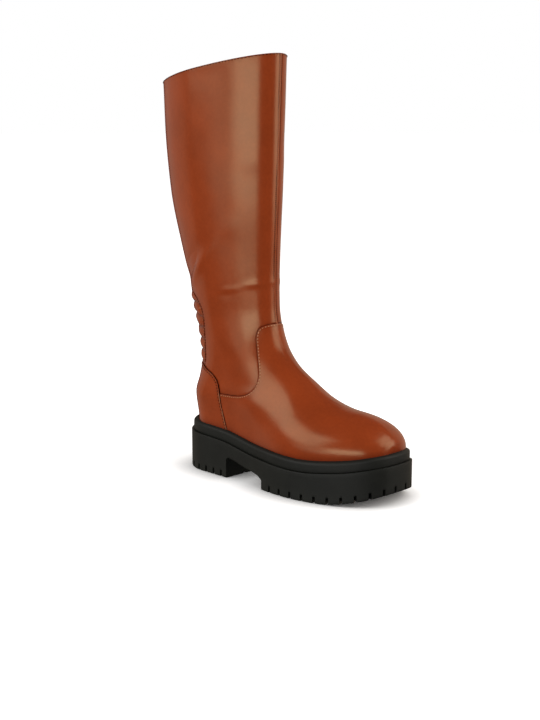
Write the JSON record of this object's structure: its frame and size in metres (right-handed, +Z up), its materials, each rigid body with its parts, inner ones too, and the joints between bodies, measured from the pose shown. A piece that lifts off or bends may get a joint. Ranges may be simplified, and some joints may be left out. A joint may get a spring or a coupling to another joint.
{
  "type": "knee-high boot",
  "caption": "Pull-on knee-high leather boot for the right foot, with a ruched panel behind the ankle and a black lugged platform sole.",
  "frame": {"origin": "on the floor, under the middle of the heel's tread", "axes": "+X towards the toe, +Y towards the wearer's inner side, +Z up along the shaft"},
  "size_m": [0.3185, 0.1093, 0.44],
  "materials": {
    "leather": "smooth polished cognac leather with a soft sheen",
    "rubber": "matte moulded black rubber",
    "lining": "matte woven lining"
  },
  "bodies": {
    "root": {"outsole": "rubber", "midsole": "rubber", "insole": "lining", "upper": "leather", "shaft": "leather", "heel_counter": "leather", "back_gusset": "leather"}
  },
  "joints": []
}
